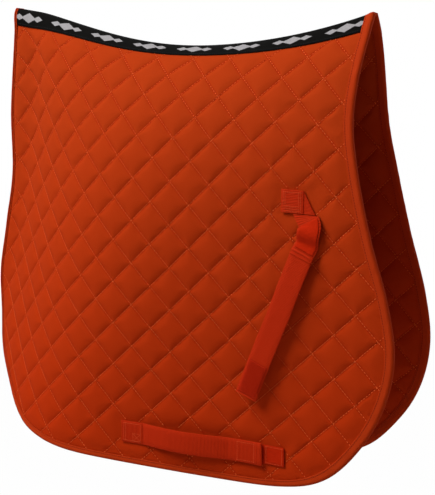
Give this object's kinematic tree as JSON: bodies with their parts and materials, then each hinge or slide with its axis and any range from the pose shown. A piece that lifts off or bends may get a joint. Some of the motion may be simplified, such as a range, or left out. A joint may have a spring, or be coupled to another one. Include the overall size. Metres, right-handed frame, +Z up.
{
  "type": "jump saddle pad",
  "caption": "Quilted jump saddle pad: two padded flaps hang from a spine seam, each with a hook-and-loop girth strap and billet strap on its outer side.",
  "frame": {"origin": "underside of the spine seam tape at the dip of the back, where the pad rests on the horse", "axes": "+X towards the horse's head, +Y to the horse's left, +Z up; the right flap hangs at -Y"},
  "size_m": [0.5716, 0.1938, 0.5304],
  "materials": {
    "cotton_cover": "orange-red quilted cotton, matte",
    "cotton_lining": "orange-red cotton, matte, on the horse's side",
    "wadding": "off-white polyester wadding, hidden between the cloths",
    "cotton_binding": "orange-red folded cotton binding, slight sheen",
    "webbing": "red ribbed webbing, satin",
    "hook_and_loop": "red hook-and-loop tape, matte",
    "spine_tape": "black woven tape, slight sheen"
  },
  "bodies": {
    "spine": {"spine_seam_tape": "spine_tape"},
    "right_flap": {"right_cover": "cotton_cover", "right_wadding": "wadding", "right_lining": "cotton_lining", "right_edge_binding": "cotton_binding", "right_spine_tape": "spine_tape", "right_girth_strap_sewn_end": "webbing", "right_girth_loop_patch": "hook_and_loop", "right_billet_strap_sewn_end": "webbing"},
    "left_flap": {"left_cover": "cotton_cover", "left_wadding": "wadding", "left_lining": "cotton_lining", "left_edge_binding": "cotton_binding", "left_spine_tape": "spine_tape", "left_girth_strap_sewn_end": "webbing", "left_girth_loop_patch": "hook_and_loop", "left_billet_strap_sewn_end": "webbing"},
    "right_girth_tab": {"right_girth_strap": "webbing", "right_girth_hook_patch": "hook_and_loop"},
    "left_girth_tab": {"left_girth_strap": "webbing", "left_girth_hook_patch": "hook_and_loop"},
    "right_billet_tab": {"right_billet_strap": "webbing", "right_billet_loop_patch": "hook_and_loop", "right_billet_hook_patch": "hook_and_loop"},
    "left_billet_tab": {"left_billet_strap": "webbing", "left_billet_loop_patch": "hook_and_loop", "left_billet_hook_patch": "hook_and_loop"}
  },
  "joints": [
    {"name": "right_flap_lift", "type": "hinge", "parent": "spine", "child": "right_flap", "pos_m": [-0.3037, 0, 0.0594], "axis": [-0.9984, 0, 0.0572], "range_deg": [0, 60]},
    {"name": "left_flap_lift", "type": "hinge", "parent": "spine", "child": "left_flap", "pos_m": [-0.3037, 0, 0.0594], "axis": [0.9984, 0, -0.0572], "range_deg": [0, 60]},
    {"name": "right_girth_tab_open", "type": "hinge", "parent": "right_flap", "child": "right_girth_tab", "pos_m": [-0.05631, -0.08098, -0.43082], "axis": [-0.0227, -0.02, -0.9995], "range_deg": [0, 90]},
    {"name": "left_girth_tab_open", "type": "hinge", "parent": "left_flap", "child": "left_girth_tab", "pos_m": [-0.05631, 0.08098, -0.43082], "axis": [0.0227, -0.02, 0.9995], "range_deg": [0, 90]},
    {"name": "right_billet_tab_swing", "type": "hinge", "parent": "right_flap", "child": "right_billet_tab", "pos_m": [0.13473, -0.06013, -0.17286], "axis": [-0.9957, -0.0799, 0.048], "range_deg": [0, 90]},
    {"name": "left_billet_tab_swing", "type": "hinge", "parent": "left_flap", "child": "left_billet_tab", "pos_m": [0.13473, 0.06013, -0.17286], "axis": [0.9957, -0.0799, -0.048], "range_deg": [0, 90]}
  ]
}
